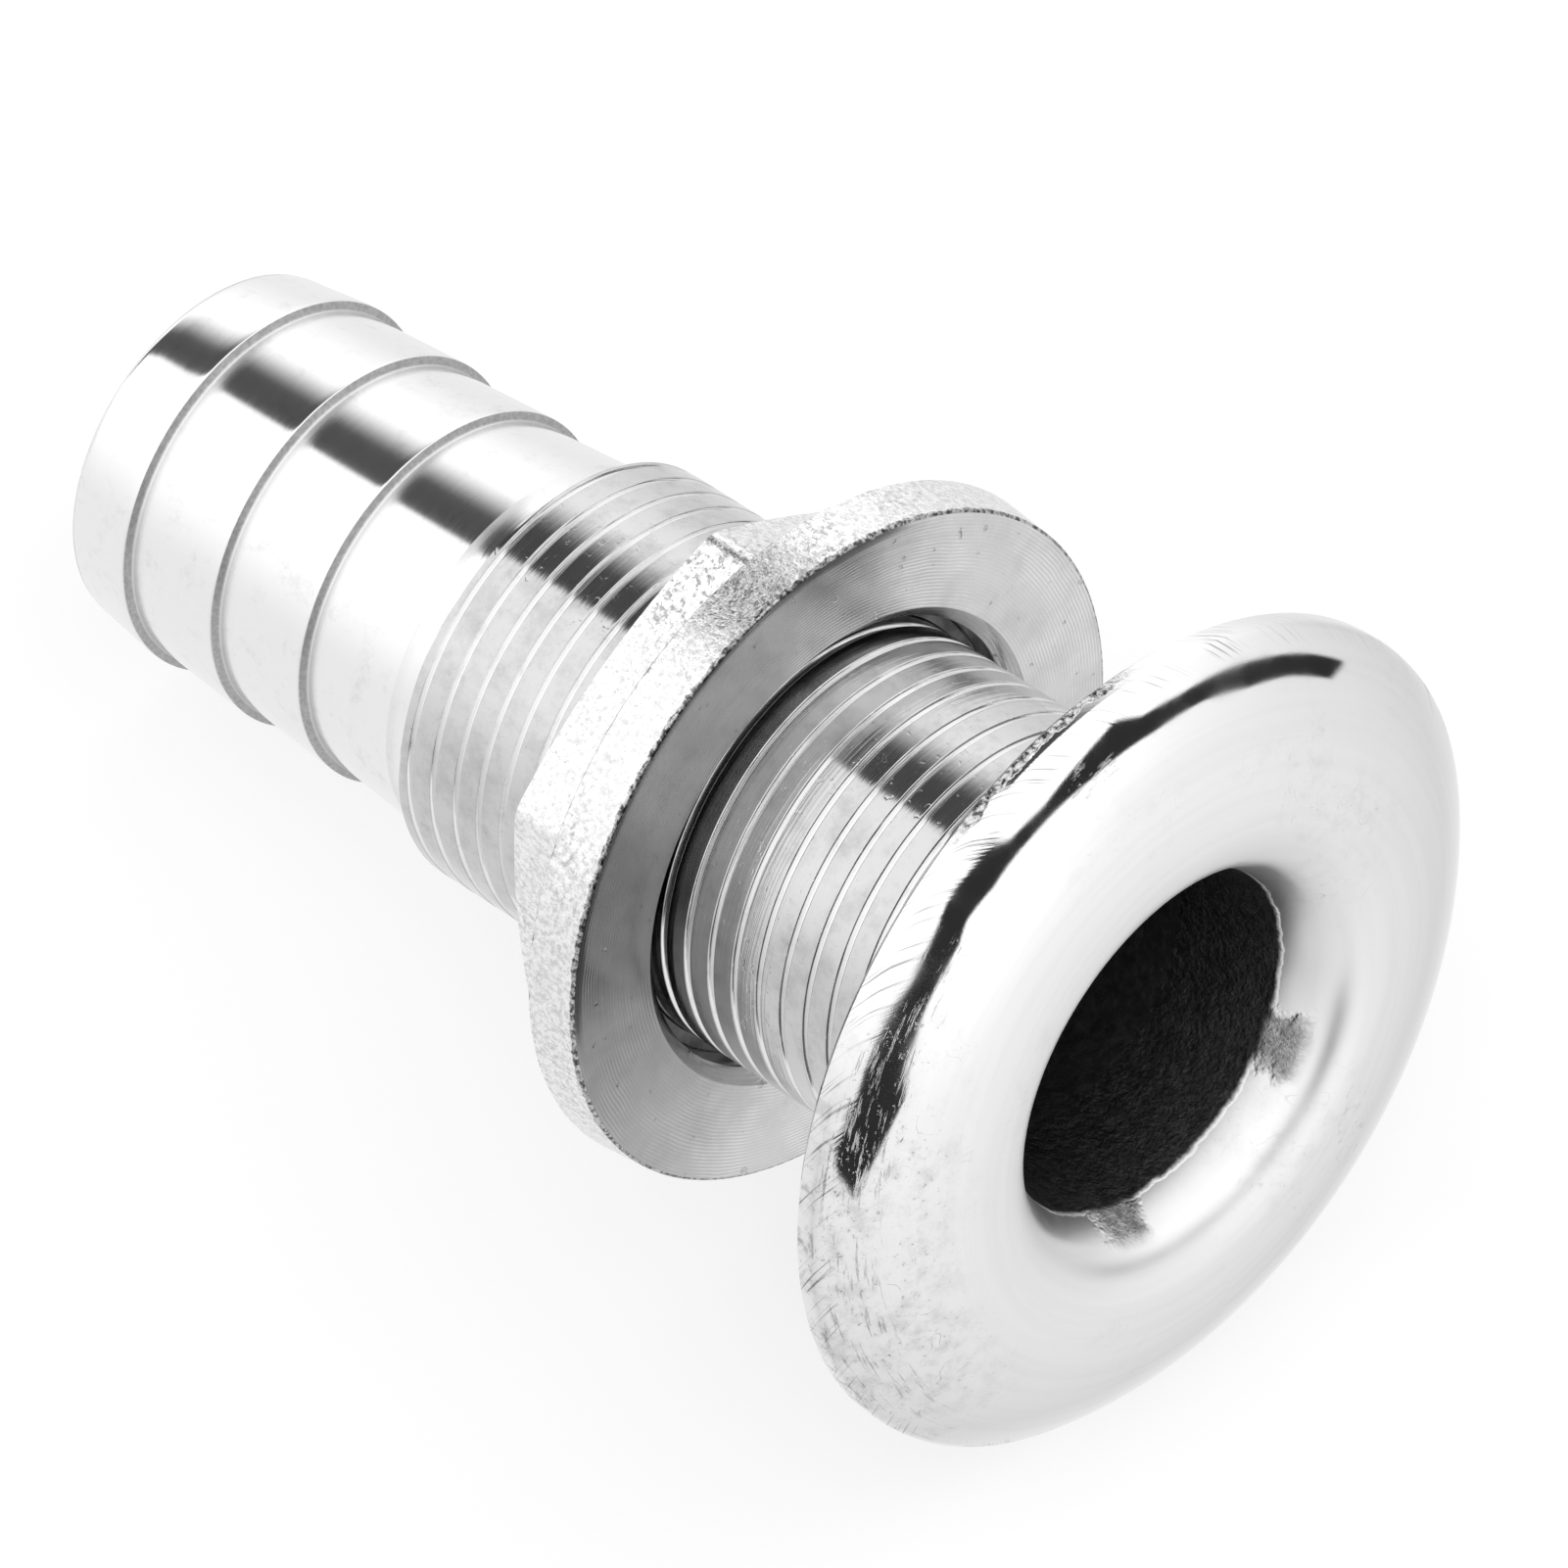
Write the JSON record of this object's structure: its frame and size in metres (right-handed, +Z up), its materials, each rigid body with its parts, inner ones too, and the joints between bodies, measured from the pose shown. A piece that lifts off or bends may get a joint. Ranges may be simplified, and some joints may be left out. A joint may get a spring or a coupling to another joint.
{
  "type": "thru hull fitting",
  "caption": "Stainless thru hull fitting: polished domed head with a bell mouth, threaded shank, barbed hose tail and a loose hex nut with a round flange.",
  "frame": {"origin": "on the fitting's axis, in the plane of the head's flat back face, which sits on the hull's outside", "axes": "+X along the axis, out of the hull through the head's mouth; the hose tail points to -X; +Z up as the fitting lies on its side; +Y completes a right-handed frame"},
  "size_m": [0.0984, 0.064, 0.064],
  "materials": {
    "polished_steel": "stainless steel, mirror-polished head, satin turned thread and tail, rough cast bore",
    "cast_steel": "cast stainless steel, rough hex and rim, turned seat face"
  },
  "bodies": {
    "hull_fitting": {"body": "polished_steel"},
    "clamp_nut": {"flange_nut": "cast_steel"}
  },
  "joints": [
    {"name": "nut_travel", "type": "slide", "parent": "hull_fitting", "child": "clamp_nut", "axis": [1, 0, 0], "range_m": [-0.064, 0.027]}
  ]
}
